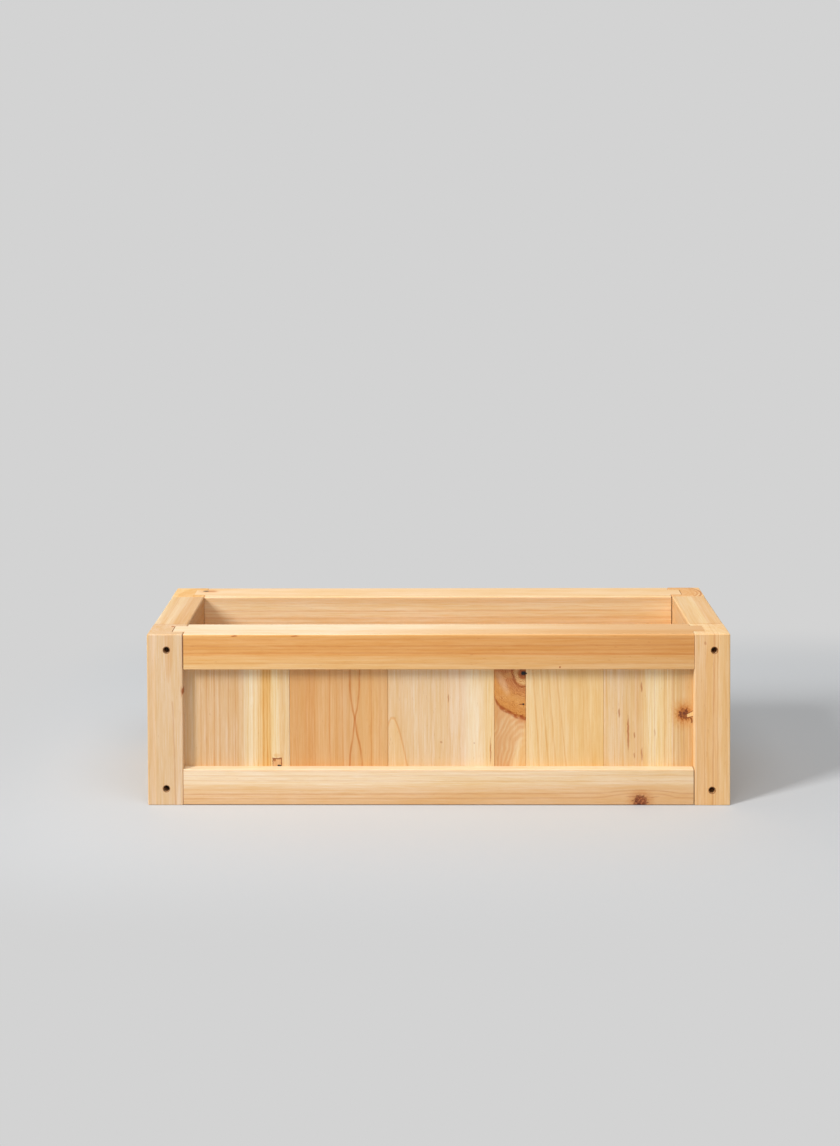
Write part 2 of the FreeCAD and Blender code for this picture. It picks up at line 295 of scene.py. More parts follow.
def make_knot():
    """A knot. The grain parts round it: Position is the place bent away from its heart."""
    inputs = {"Position": (0.0, 0.0, 0.0), "Heart": (0.0, 0.0, 0.0), "Radius": 5.0, "Height": 1.2,
              "Seed": 0.0}
    outputs = ("Position", "Core", "Rings", "Halo", "Cracks", "Blots")
    tree, nodes, given, result = new_group("knot", inputs, outputs)
    away = nodes.apart(given["Position"], given["Heart"])
    across, _, along = nodes.split(away)
    along = nodes.over(along, given["Height"])
    flat = nodes.joined(across, 0.0, along)
    moved = nodes.moved(flat, nodes.joined(given["Seed"], 0.0, 0.0))
    rough = nodes.noise(moved, scale=0.40, detail=4.0, roughness=0.65)
    distance = nodes.over(nodes.length(flat), given["Radius"])
    ragged = nodes.times_plus(rough, 1.5, nodes.minus(distance, 0.75))
    bend = nodes.least(nodes.math("POWER", distance, -2.0), 1.0)
    new_across = nodes.times(across, nodes.minus(1.0, bend))
    shift = nodes.minus(new_across, across)
    nodes.feed(result["Position"], nodes.moved(given["Position"], nodes.joined(shift, 0.0, 0.0)))
    nodes.feed(result["Core"], nodes.ranged(ragged, 1.22, 0.68))
    turns = nodes.math("SINE", nodes.times(ragged, 16.0))
    nodes.feed(result["Rings"], nodes.ranged(turns, -0.2, 1.0))
    nodes.feed(result["Halo"], nodes.ranged(ragged, 2.3, 0.9))
    blots = nodes.noise(moved, scale=0.42, detail=2.0)
    nodes.feed(result["Blots"], nodes.ranged(blots, 0.50, 0.66))
    turn = nodes.times(nodes.math("ARCTAN2", along, across), 1.9)
    rays = nodes.noise(nodes.joined(turn, given["Seed"], nodes.times(distance, 0.5)), scale=1.3,
                       detail=2.0)
    nodes.feed(result["Cracks"],
               nodes.times(nodes.ranged(rays, 0.50, 0.62), nodes.ranged(ragged, 1.15, 0.8)))
    return tree


def make_streak():
    """A short dark streak or fleck along the grain, fading at its ends."""
    inputs = {"Position": (0.0, 0.0, 0.0), "Middle": (0.0, 0.0, 0.0), "Half width": 0.8,
              "Half length": 8.0, "Slope": 0.0}
    tree, nodes, given, result = new_group("grain streak", inputs, ("Mask",))
    across, _, along = nodes.split(nodes.apart(given["Position"], given["Middle"]))
    sway = nodes.minus(nodes.noise_along(nodes.times(along, 0.16)), 0.5)
    across = nodes.times_plus(nodes.times(given["Slope"], -1.0), along, across)
    across = nodes.plus(across, sway)
    wide = nodes.math("POWER", nodes.over(across, given["Half width"]), 2.0)
    high = nodes.math("POWER", nodes.over(along, given["Half length"]), 2.0)
    fine = nodes.noise(nodes.scaled(given["Position"], 0.9, 0.9, 0.2), detail=2.0)
    edge = nodes.times_plus(fine, 0.8, nodes.plus(wide, high))
    nodes.feed(result["Mask"], nodes.ranged(edge, 1.4, 0.5))
    return tree


def make_grain_line():
    """One dark line of late wood that follows a drawn course; Offset is how far it is away."""
    inputs = {"Position": (0.0, 0.0, 0.0), "Offset": 0.0, "Half width": 0.8}
    tree, nodes, given, result = new_group("grain line", inputs, ("Mask",))
    sway = nodes.noise(nodes.scaled(given["Position"], 0.2, 0.2, 0.07), detail=2.0)
    offset = nodes.times_plus(nodes.minus(sway, 0.5), 1.2, given["Offset"])
    offset = nodes.size(offset)
    strength = nodes.ranged(nodes.noise(nodes.scaled(given["Position"], 0.3, 0.3, 0.05)), 0.2, 0.6,
                            0.45, 1.0)
    mask = nodes.ranged(nodes.over(offset, given["Half width"]), 1.3, 0.2)
    nodes.feed(result["Mask"], nodes.times(mask, strength))
    return tree


def make_edge_wear_and_highlights():
    """Where a board's corners are paler: partly rubbed wear, partly a painted highlight where the
    rounded arrises catch the light. Middle and Half size are the board's, in metres.
    """
    inputs = {"Place": (0.0, 0.0, 0.0), "Middle": (0.0, 0.0, 0.0), "Half size": (1.0, 1.0, 1.0),
              "Width": 1.5}
    tree, nodes, given, result = new_group("edge wear and highlights", inputs, ("Mask",))
    away = nodes.vector("ABSOLUTE", nodes.apart(given["Place"], given["Middle"]))
    depth = nodes.resized(nodes.apart(given["Half size"], away), MM_IN_METRE)
    x, y, z = nodes.split(depth)
    second = nodes.most(nodes.least(x, y), nodes.least(nodes.most(x, y), z))
    rough = nodes.noise(given["Place"], scale=140.0, detail=3.0)
    wear_and_highlight = nodes.times_plus(nodes.minus(rough, 0.5), 2.2, second)
    nodes.feed(result["Mask"], nodes.ranged(wear_and_highlight, given["Width"], 0.1))
    return tree


RINGS = make_growth_rings()
FIBRES = make_fibres()
KNOT = make_knot()
STREAK = make_streak()
GRAIN_LINE = make_grain_line()
EDGE_WEAR_AND_HIGHLIGHTS = make_edge_wear_and_highlights()


# --- boards --------------------------------------------------------------------------------------

def is_long(wall):
    return wall in ("front", "back")


def board_axes(wall, lie):
    """The axes across, into and along a board, and the corner its millimetres start from.

    An upright is measured across from the wall's left end and up from the ground. A rail is
    measured down from the top of the box and along from the wall's left end. A slat is
    measured from above: across from the box's left end, down from the floor's face, and
    along from the front.
    """
    if lie == "slat":
        axes = Vector((1, 0, 0)), Vector((0, 0, -1)), Vector((0, 1, 0))
        return axes, Vector((-BOX_LENGTH / 2, -BOX_DEPTH / 2, FLOOR_TOP))
    turn = Matrix.Rotation(math.radians(90 * WALLS.index(wall)), 3, "Z")
    right, inward, up = turn @ Vector((1, 0, 0)), turn @ Vector((0, 1, 0)), Vector((0, 0, 1))
    length, depth = (BOX_LENGTH, BOX_DEPTH) if is_long(wall) else (BOX_DEPTH, BOX_LENGTH)
    corner = -right * length / 2 - inward * depth / 2
    if lie == "upright":
        return (right, inward, up), corner
    return (-up, inward, right), corner + up * BOX_HEIGHT


def board_position(nodes, place, wall, lie):
    """Object coordinates turned into the board's own millimetres."""
    axes, corner = board_axes(wall, lie)
    turn = Matrix(axes)
    node = nodes.add("Mapping", vector_type="POINT")
    nodes.feed(node.inputs["Vector"], place)
    node.inputs["Scale"].default_value = (MM_IN_METRE, MM_IN_METRE, MM_IN_METRE)
    node.inputs["Rotation"].default_value = turn.to_euler("XYZ")
    node.inputs["Location"].default_value = -(turn @ corner)
    return node.outputs[0]


def new_material(name):
    material = bpy.data.materials.new(name)
    material.use_nodes = True
    return material, Nodes(material.node_tree), material.node_tree.nodes["Principled BSDF"]


def roughen(nodes, shader, height, strength, distance):
    """Fine relief, given by height, over a whole surface."""
    bump = nodes.add("Bump")
    bump.inputs["Strength"].default_value = strength
    bump.inputs["Distance"].default_value = distance
    nodes.feed(bump.inputs["Height"], height)
    nodes.feed(shader.inputs["Normal"], bump.outputs[0])


def dress(name, material):
    """Gives a piece its material."""
    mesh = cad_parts[name].data
    mesh.materials.clear()
    mesh.materials.append(material)


def grown_tone(nodes, rings, radius_at, tones):
    """The board's tones, laid along its growth rings."""
    low, high = sorted((radius_at(tones[0][0]), radius_at(tones[-1][0])))
    stops = sorted(((radius_at(across) - low) / (high - low), shade) for across, *shade in tones)
    return nodes.ramp(nodes.ranged(rings["Radius"], low, high, smooth=False),
                      [(share, colour(*shade)) for share, shade in stops])


def changed_along(nodes, tone, along, changes):
    """A tone that changes from one end of the board to the other."""
    first, last = changes[0][0], changes[-1][0]
    share = nodes.ranged(along, first, last, smooth=False)
    stops = [((place - first) / (last - first), (*tint, 1.0)) for place, tint in changes]
    return nodes.tinted(tone, nodes.ramp(share, stops))


def drawn_line(nodes, shade, position, line, tint):
    """A line of late wood that follows a drawn course and ends with it."""
    half_width, weight, points = line
    across, _, along = nodes.split(position)
    offset = nodes.minus(across, nodes.curve(along, points))
    mask = nodes.use(GRAIN_LINE, Position=position, Offset=offset, Half_width=half_width)["Mask"]
    first, last = points[0][0], points[-1][0]
    inside = nodes.times(nodes.ranged(along, first - 2, first + 2),
                         nodes.ranged(along, last + 2, last - 2))
    return nodes.stained(shade, nodes.times(mask, inside, weight), tint)


def knot_wood(nodes, shade, knot, core):
    """A knot's halo and its core, with its rings, blots and cracks."""
    core = colour(*core)
    shade = nodes.stained(shade, nodes.times(knot["Halo"], 0.75), KNOT_HALO)
    dark = nodes.mixed(knot["Rings"], core, nodes.tinted(core, KNOT_RING))
    dark = nodes.mixed(knot["Blots"], dark, nodes.tinted(core, KNOT_BLOT))
    dark = nodes.mixed(nodes.times(knot["Cracks"], 0.85), dark, nodes.tinted(core, KNOT_CRACK))
    return nodes.mixed(knot["Core"], shade, dark)


def hole_ring_and_shade(nodes, shade, position, inward, across, along):
    """A dark brown ring round a drilled hole on the board's face, and painted shade, less dark, on
    the hole's walls.
    """
    away = nodes.scaled(nodes.apart(position, (across, 0.0, along)), 1.0, 0.0, 1.0)
    rim = nodes.ranged(nodes.length(away), HOLE_RIM + 0.4, HOLE_RIM - 0.3)
    return nodes.stained(shade, nodes.times(rim, nodes.ranged(inward, 0.5, 0.2, 0.5, 0.85)),
                         HOLE_RING_AND_SHADE)


def wood(name, wall, lie, tones, pith=(-150.0, 20.0), lean=0.0, ring=2.6, wander=5.0,
         line=LATE_WOOD, strength=0.6, knots=(), streaks=(), courses=(), seed=0.0, figure=None,
         end=END_GRAIN, course=DRAWN_LINE, changes=(), through=False, band=1.0, holes=()):
    """The wood of one board.

    tones are (place across the board, red, green, blue); they run with the growth rings, which
    are ring wide, wander, and are drawn in the tint line. knots are (across, along, radius,
    height, core colour), streaks (across, along, half width, half length, slope, weight) and
    courses (half width, weight, points along and across), in the tint course. changes are
    (place along the board, tint) pairs. With through, the tones' places are measured in from
    the outer face. band is how much broad bands of tone show. holes are the (across, along)
    places of drilled holes.
    """
    material, nodes, shader = new_material(name)
    coordinates = nodes.add("TexCoord")
    place, normal = coordinates.outputs["Object"], coordinates.outputs["Normal"]
    position = bent = board_position(nodes, place, wall, lie)
    _, inward, along_board = nodes.split(position)
    hearts = []
    for across, along, radius, height, core in knots:
        knot = nodes.use(KNOT, Position=bent, Heart=(across, 0.0, along), Radius=radius,
                         Height=height, Seed=seed + across)
        bent = knot["Position"]
        hearts.append((knot, core))
    rings = nodes.use(RINGS, Position=bent, Pith=(*pith, 0.0), Lean=(lean, 0.0, 0.0),
                      Ring_width=ring, Wander=wander, Seed=seed)
    fibres = nodes.use(FIBRES, Position=position, Seed=seed * 7.0)

    face = STAVE_FACE if lie == "upright" and "post" not in name else 0.0
    board_length = BOX_HEIGHT if lie == "upright" else BOX_LENGTH if is_long(wall) else BOX_DEPTH

    def radius_at(place):
        across, inward = (STOCK / 2, place) if through else (place, face)
        return math.hypot(across - pith[0] - lean * board_length / 2, inward - pith[1])

    tone = grown_tone(nodes, rings, radius_at, tones)
    if changes:
        tone = changed_along(nodes, tone, along_board, changes)
    drift = nodes.mixed(nodes.ranged(fibres["Drift"], 0.3, 0.7), DARK_DRIFT, PALE_DRIFT)
    ring_tone = nodes.mixed(rings["Ring tone"], PALE_RING, DARK_RING)
    shade = nodes.tinted(tone, nodes.tinted(drift, ring_tone))
    weight = nodes.ranged(fibres["Drift"], 0.25, 0.75, 0.5 * strength, strength)
    shade = nodes.stained(shade, nodes.times(rings["Line"], weight), line)
    if figure:
        up = nodes.ranged(nodes.split(normal)[2], 0.55, 0.85)
        shade = figure(nodes, position, shade, up)
    for drawn in courses:
        shade = drawn_line(nodes, shade, position, drawn, course)
    dark, pale = (tuple(1.0 + band * part for part in tint) for tint in (DARK_BAND, PALE_BAND))
    shade = nodes.mixed(nodes.ranged(fibres["Bands"], 0.3, 0.7),
                        nodes.tinted(shade, dark), nodes.tinted(shade, pale))
    fine = nodes.ranged(fibres["Fine"], 0.25, 0.75, smooth=False)
    shade = nodes.tinted(shade, nodes.mixed(fine, DARK_FIBRE, PALE_FIBRE))
    shade = nodes.stained(shade, nodes.times(fibres["Ducts"], 0.35), RESIN_DUCT)
    for across, along, half_width, half_length, slope, weight in streaks:
        mask = nodes.use(STREAK, Position=position, Middle=(across, 0.0, along),
                         Half_width=half_width, Half_length=half_length, Slope=slope)["Mask"]
        shade = nodes.stained(shade, nodes.times(mask, weight), BROWN_STREAK)
    for knot, core in hearts:
        shade = knot_wood(nodes, shade, knot, core)
    # A dark ring round each counterbore's mouth, and painted shade on its walls.
    for across, along in holes:
        shade = hole_ring_and_shade(nodes, shade, position, inward, across, along)

    along_axis = board_axes(wall, lie)[0][2]
    facing = nodes.vector("DOT_PRODUCT", normal, tuple(along_axis), result=1)
    cut = nodes.ranged(nodes.size(facing), 0.6, 0.85)
    shade = nodes.stained(shade, cut, end)
    # Paler arrises: partly wear, partly a painted highlight where the rounded edges catch the
    # light.
    low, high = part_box(name)
    wear_and_highlight = nodes.use(EDGE_WEAR_AND_HIGHLIGHTS, Place=place, Middle=tuple((low + high) / 2),
                     Half_size=tuple((high - low) / 2), Width=1.6)["Mask"]
    shade = nodes.stained(shade, nodes.times(wear_and_highlight, 0.35), EDGE_WEAR_AND_HIGHLIGHT)
    nodes.feed(shader.inputs["Base Color"], shade)

    rough = nodes.ranged(fibres["Fine"], 0.2, 0.8, 0.50, 0.66, smooth=False)
    nodes.feed(shader.inputs["Roughness"], nodes.times_plus(cut, 0.18, rough))
    shader.inputs["Specular IOR Level"].default_value = 0.35
    roughen(nodes, shader, nodes.times_plus(rings["Line"], 0.6, fibres["Fine"]), 0.30, 0.0002)
    dress(name, material)


# Stations along a stave, a post and a long rail, at which drawn courses are given.
STAVE = (30, 90, 150)
POST = (0, 90, 184)
RAIL = (0, 200, 400, 622)
RAIL_THIRDS = (0, 300, 622)


def drawn(stations, *lines):
    """Courses that are given by their places across the board at the same stations along it."""
    return [(half_width, weight, list(zip(stations, places)))
            for half_width, weight, *places in lines]


# --- figures of single boards --------------------------------------------------------------------

# A figure is drawn over a board's rings. It is given the position, whose millimetres run
# across, into and along the board, the shade so far, and up, which is 1 on an upper face.

def spot(nodes, position, across, along, wide, high, ragged=0.5):
    """A ragged round or long spot: 1 inside it."""
    away = nodes.apart(position, (across, 0.0, along))
    distance = nodes.length(nodes.scaled(away, 1 / wide, 0.0, 1 / high))
    rough = nodes.noise(position, scale=0.9 / min(wide, high), detail=3.0)
    return nodes.ranged(nodes.times_plus(rough, ragged, distance), 1.0 + 0.7 * ragged,
                        0.75 + 0.3 * ragged)


def square_knot(nodes, position, shade, up):
    """A squared-off knot low in the pale strip, outlined in brown, with a black heart."""
    away = nodes.apart(position, (137.7, 0.0, 41.8))
    across, _, along = nodes.split(away)
    rough = nodes.minus(nodes.noise(position, scale=0.45, detail=3.0), 0.5)
    reach = nodes.most(nodes.over(nodes.size(across), 4.9), nodes.over(nodes.size(along), 5.3))
    reach = nodes.plus(reach, nodes.times(rough, 0.45))
    inside = nodes.ranged(reach, 1.12, 0.97)
    shade = nodes.mixed(inside, shade, colour(222, 172, 118))
    rim = nodes.times(inside, nodes.ranged(reach, 0.72, 0.92))
    top_right = nodes.ranged(nodes.plus(across, nodes.times(along, 1.3)), -5.0, 5.0, 0.45, 1.0)
    shade = nodes.stained(shade, nodes.times(rim, top_right), (0.40, 0.22, 0.14))
    shade = nodes.stained(shade, spot(nodes, position, 134.9, 45.2, 1.6, 1.8), (0.62, 0.42, 0.28))
    shade = nodes.stained(shade, spot(nodes, position, 137.4, 50.0, 3.4, 2.4, 1.2),
                          (0.95, 0.84, 0.72))
    return nodes.mixed(spot(nodes, position, 140.0, 39.0, 2.3, 1.3), shade, colour(34, 20, 16))


def arch(nodes, position, shade, up):
    """One arch of late wood, yellower inside, whose left leg runs along the joint."""
    across, _, along = nodes.split(position)
    below = nodes.most(nodes.minus(91.5, along), 0.0)
    reach = nodes.times(nodes.math("POWER", below, 0.58), 1.45)
    middle = nodes.times_plus(below, 0.02, 262.0)
    gap = nodes.minus(nodes.gap(across, middle), reach)
    inside = nodes.times(nodes.ranged(gap, 0.6, -0.8), nodes.ranged(below, 0.0, 1.5))
    shade = nodes.mixed(nodes.times(inside, 0.35), shade, colour(238, 198, 140))
    line = nodes.times(nodes.ranged(nodes.size(gap), 1.5, 0.1), nodes.ranged(below, -0.1, 0.6))
    cap = nodes.times(spot(nodes, position, 262.4, 90.6, 3.6, 1.7), 0.8)
    return nodes.stained(shade, nodes.times(nodes.most(line, cap), 0.68), (0.90, 0.64, 0.38))


def wild_figure(nodes, position, shade, up):
    """The narrow board: wavy rings round a black knot above a dark border, arches below it, and a
    painted sheen high on its left.
    """
    across, _, along = nodes.split(position)
    warp = nodes.noise(nodes.scaled(position, 0.12, 0.0, 0.16), detail=2.5, roughness=0.5)
    warp = nodes.minus(warp, 0.5)
    border_height = nodes.curve(across, [
        (370, 114.5), (372, 111.4), (374.2, 107.0), (377.7, 102.4), (382.5, 99.4), (386, 97.3),
        (390.8, 94.6), (395.6, 92.2), (400.3, 91.2), (404, 90.0)])
    above = nodes.minus(along, nodes.times_plus(warp, 4.0, border_height))
    from_knot = nodes.length(nodes.scaled(nodes.apart(position, (402.5, 0.0, 138.5)), 1.0, 0.0,
                                          0.8))
    field = nodes.times_plus(above, 0.62, nodes.times(from_knot, -0.55))
    field = nodes.times_plus(warp, 15.0, field)
    count = nodes.over(field, 1.5)
    season = nodes.math("FRACT", count)
    rank = nodes.chance(nodes.math("FLOOR", count))
    line = nodes.times(nodes.ranged(season, 0.25, 0.8), nodes.ranged(season, 0.85, 1.0, 1.0, 0.0))
    line = nodes.times(line, nodes.ranged(rank, 0.0, 1.0, 0.30, 1.0))

    from_foot = nodes.length(nodes.scaled(nodes.apart(position, (406.0, 0.0, 32.0)), 1.0, 0.0,
                                          0.48))
    swell = nodes.noise(nodes.scaled(position, 0.05, 0.0, 0.04), detail=2.0)
    arches = nodes.times_plus(swell, 9.0, from_foot)
    arches = nodes.math("SINE", nodes.times(arches, 1.7))
    arches = nodes.times(nodes.ranged(arches, -0.7, 1.0), nodes.ranged(along, 98.0, 86.0, 0.4, 1.0))
    arches = nodes.times(arches, nodes.ranged(swell, 0.35, 0.6, 0.45, 1.0))
    low = nodes.mixed(nodes.ranged(across, 374.0, 398.0, 0.0, 0.8), shade, colour(234, 192, 142))
    low = nodes.mixed(arches, nodes.tinted(low, (0.96, 0.85, 0.75)),
                      nodes.tinted(low, (1.02, 1.07, 1.12)))
    wedge_middle = nodes.curve(along, [(30, 391.5), (52, 395.5), (70, 399.5), (88, 401.5)])
    wedge_width = nodes.ranged(along, 36.0, 78.0, 4.6, 1.2, smooth=False)
    aside = nodes.minus(across, wedge_middle)
    wedge = nodes.ranged(nodes.over(nodes.size(aside), wedge_width), 1.5, 0.1)
    wedge = nodes.times(wedge, nodes.ranged(along, 80.0, 60.0))
    low = nodes.mixed(nodes.ranged(aside, 0.0, 4.0, 0.0, 0.75), low, colour(238, 190, 124))
    low = nodes.mixed(nodes.times(wedge, 0.8), low, colour(241, 208, 156))
    stain = nodes.times(nodes.ranged(above, -15.0, 0.0), nodes.ranged(across, 388.0, 403.0))
    low = nodes.stained(low, nodes.times(stain, 0.85), (0.84, 0.58, 0.38))

    gold = nodes.mixed(nodes.ranged(above, 1.0, 14.0), colour(215, 148, 72), colour(219, 154, 80))
    gold = nodes.mixed(nodes.ranged(above, 16.0, 34.0), gold, colour(203, 136, 80))
    patches = nodes.noise(nodes.scaled(position, 0.09, 0.0, 0.12), detail=2.0)
    gold = nodes.mixed(nodes.ranged(patches, 0.48, 0.66, 0.0, 0.55), gold, colour(226, 170, 102))
    gold = nodes.mixed(nodes.ranged(nodes.gap(from_knot, 7.4), 3.4, 0.5, 0.0, 0.8), gold,
                       colour(236, 194, 132))
    gold = nodes.stained(gold, line, (0.70, 0.44, 0.25))
    arc = nodes.gap(nodes.times_plus(warp, 7.0, from_knot), 11.6)
    arc = nodes.times(nodes.ranged(arc, 1.7, 0.3), nodes.ranged(patches, 0.30, 0.55, 0.5, 0.9))
    gold = nodes.stained(gold, arc, (0.62, 0.38, 0.22))
    # A painted sheen: a broad pale pink patch high on the left, standing in for light glancing off
    # the wood.
    painted_sheen = nodes.apart(position, (380.6, 0.0, 128.0))
    sheen_across, _, sheen_along = nodes.split(painted_sheen)
    sheen_across = nodes.times_plus(sheen_along, 0.42, sheen_across)
    painted_sheen = nodes.length(nodes.joined(nodes.over(sheen_across, 4.4), 0.0,
                                      nodes.over(sheen_along, 13.0)))
    gold = nodes.mixed(nodes.ranged(painted_sheen, 1.4, 0.1, 0.0, 0.62), gold, colour(230, 184, 138))
    shade = nodes.mixed(nodes.ranged(above, -0.4, 0.4), low, gold)

    border = nodes.ranged(nodes.gap(above, 0.1), 3.6, 0.8)
    blots = nodes.noise(nodes.scaled(position, 0.22, 0.0, 0.22), detail=2.0)
    border = nodes.times(border, nodes.ranged(blots, 0.30, 0.55, 0.45, 1.0))
    shade = nodes.stained(shade, nodes.times(border, 0.95), (0.58, 0.29, 0.15))
    shade = nodes.stained(shade, spot(nodes, position, 400.4, 105.4, 3.2, 0.7), (0.50, 0.30, 0.18))
    shade = nodes.mixed(spot(nodes, position, 402.4, 105.5, 1.4, 1.2), shade, colour(44, 26, 20))
    shade = nodes.stained(shade, spot(nodes, position, 402.8, 138.6, 7.5, 6.0), (0.70, 0.52, 0.36))
    star = spot(nodes, position, 402.6, 139.0, 3.1, 2.7, 0.9)
    star = nodes.most(star, spot(nodes, position, 404.6, 139.2, 3.0, 0.8))
    return nodes.mixed(star, shade, colour(24, 26, 30))


def knot_tip(nodes, position, shade, up):
    """The tip of the narrow board's black knot, which crosses the joint into this board."""
    return nodes.mixed(spot(nodes, position, 404.5, 138.7, 2.3, 1.3), shade, colour(34, 32, 32))


def edge_knot(nodes, position, shade, up):
    """A red knot by the post: rays of dark wood, a pale wedge in it and a curved check."""
    away = nodes.apart(position, (574.0, 0.0, 95.0))
    across, _, along = nodes.split(away)
    turn = nodes.math("ARCTAN2", along, across)
    distance = nodes.length(nodes.scaled(away, 1.0, 0.0, 1 / 1.2))
    rays = nodes.noise(nodes.joined(nodes.times(turn, 3.2), 0.0, nodes.times(distance, 0.10)),
                       detail=3.0)
    ragged = nodes.times_plus(nodes.minus(rays, 0.5), -6.0, distance)
    blots = nodes.noise(nodes.scaled(position, 0.42, 0.0, 0.34), detail=4.0, roughness=0.65)
    ragged = nodes.times_plus(nodes.minus(blots, 0.5), -9.0, ragged)
    shade = nodes.stained(shade, nodes.ranged(ragged, 18.0, 4.0, 0.0, 0.85), (0.89, 0.62, 0.34))
    shade = nodes.stained(shade, nodes.ranged(ragged, 10.0, 4.0, 0.0, 0.9), (0.74, 0.47, 0.27))
    core = nodes.times(nodes.ranged(ragged, 6.0, 3.2), nodes.ranged(blots, 0.40, 0.58, 0.35, 1.0))
    shade = nodes.mixed(core, shade, colour(112, 56, 28))
    right, _, height = nodes.split(position)
    wedge_middle = nodes.times_plus(nodes.minus(right, 582.0), 0.38, 94.6)
    wedge = nodes.gap(height, wedge_middle)
    reach = nodes.ranged(right, 577.5, 586.0, 1.6, 2.7, smooth=False)
    gap = nodes.minus(wedge, reach)
    open_end = nodes.ranged(right, 577.2, 578.4)
    outline = nodes.times(nodes.ranged(nodes.gap(gap, 0.5), 0.9, 0.2), open_end)
    shade = nodes.stained(shade, nodes.times(outline, 0.8), (0.40, 0.20, 0.11))
    shade = nodes.mixed(nodes.times(nodes.ranged(gap, 0.3, -0.3), open_end), shade,
                        colour(236, 200, 140))
    rim = nodes.apart(nodes.scaled(position, 1.0, 0.0, 1.0), (577.6, 0.0, 87.2))
    rim = nodes.gap(nodes.length(rim), 5.2)
    check = nodes.times(nodes.ranged(rim, 1.2, 0.4), nodes.ranged(height, 91.6, 90.6))
    check = nodes.times(check, nodes.ranged(right, 577.6, 579.2))
    check = nodes.times(check, nodes.ranged(height, 84.6, 86.0))
    return nodes.stained(shade, nodes.times(check, 0.9), (0.34, 0.18, 0.11))


def top_mark(nodes, position, inward, along, deep, long):
    """A ragged mark on an upper face: 1 inside it."""
    away = nodes.apart(position, (0.0, inward, along))
    distance = nodes.length(nodes.scaled(away, 0.0, 1 / deep, 1 / long))
    rough = nodes.noise(position, scale=0.4, detail=3.0)
    return nodes.ranged(nodes.times_plus(rough, 0.6, distance), 1.5, 0.9)


def knot_on_top(nodes, position, shade, up):
    """The back top rail: a knot sawn lengthwise on its upper face, by the left post."""
    halo = nodes.times(top_mark(nodes, position, 14.5, 582.0, 8.0, 13.0), up)
    shade = nodes.stained(shade, nodes.times(halo, 0.7), (0.92, 0.74, 0.56))
    tail = nodes.times(top_mark(nodes, position, 14.0, 579.5, 2.6, 7.0), up)
    shade = nodes.stained(shade, nodes.times(tail, 0.85), (0.66, 0.36, 0.22))
    heart = nodes.times(top_mark(nodes, position, 13.6, 585.4, 2.4, 3.6), up)
    return nodes.mixed(heart, shade, colour(64, 34, 24))


def pith_top(across, inward):
    """A post whose pith shows on its end: a small red-brown spot in pale rings."""
    def figure(nodes, position, shade, up):
        away = nodes.scaled(nodes.apart(position, (across, inward, 0.0)), 1.0, 1.0, 0.0)
        distance = nodes.length(away)
        rough = nodes.noise(position, scale=0.5, detail=2.0)
        distance = nodes.times_plus(rough, 1.4, distance)
        shade = nodes.stained(shade, nodes.times(nodes.ranged(distance, 6.5, 3.0), up),
                              (1.08, 1.10, 1.14))
        return nodes.stained(shade, nodes.times(nodes.ranged(distance, 3.4, 1.8), up), RED_RING)
    return figure


def red_arc(across, inward, radius):
    """A post with one thick red-brown ring near a corner of its end."""
    def figure(nodes, position, shade, up):
        away = nodes.scaled(nodes.apart(position, (across, inward, 0.0)), 1.0, 1.0, 0.0)
        rough = nodes.noise(position, scale=0.35, detail=3.0)
        distance = nodes.times_plus(rough, 3.0, nodes.length(away))
        ring = nodes.gap(distance, radius + 1.5)
        second = nodes.gap(distance, radius - 3.0)
        ring = nodes.most(nodes.ranged(ring, 1.9, 0.4), nodes.ranged(second, 1.2, 0.3, 0.0, 0.5))
        return nodes.stained(shade, nodes.times(ring, up, 0.85), RED_RING)
    return figure


def pale_ledge(nodes, position, shade, up):
    """The front bottom rail's upper face, paler and less yellow than its front."""
    return nodes.mixed(up, shade, colour(228, 205, 169))


def pale_side_highlight(nodes, position, shade, up):
    """The right front post, whose strip beside the staves is painted paler than its front: a
    painted highlight where the key light from the left falls on it.
    """
    across, inward, _ = nodes.split(position)
    side = nodes.ranged(inward, 0.4, 1.4)
    side = nodes.times(side, nodes.ranged(across, 590.0, 586.0))
    return nodes.stained(shade, side, (1.0, 1.14, 1.26))


def pale_top(nodes, position, shade, up):
    """The front top rail's upper face: sapwood, cream at the left and tan at the right."""
    _, inward, along = nodes.split(position)
    back = nodes.ramp(nodes.ranged(along, 0.0, 622.0, smooth=False), [
        (0.0, colour(240, 212, 172)), (0.10, colour(243, 220, 186)), (0.45, colour(243, 220, 184)),
        (0.68, colour(233, 196, 149)), (0.80, colour(225, 183, 133)), (1.0, colour(219, 172, 118))])
    front = nodes.ramp(nodes.ranged(along, 0.0, 622.0, smooth=False), [
        (0.0, colour(241, 214, 177)), (0.30, colour(242, 215, 178)), (0.55, colour(233, 192, 142)),
        (0.80, colour(220, 171, 114)), (1.0, colour(216, 165, 106))])
    sway = nodes.noise(nodes.scaled(position, 0.03, 0.03, 0.006), detail=2.0)
    depth = nodes.times_plus(nodes.minus(sway, 0.5), 14.0, inward)
    face = nodes.mixed(nodes.ranged(depth, 11.0, 22.0), front, back)
    lines = nodes.noise(nodes.scaled(position, 0.0, 0.75, 0.005), detail=3.0)
    face = nodes.stained(face, nodes.ranged(lines, 0.48, 0.66, 0.0, 0.6), (0.96, 0.87, 0.74))
    return nodes.mixed(up, shade, face)


# --- front wall and posts, board by board --------------------------------------------------------

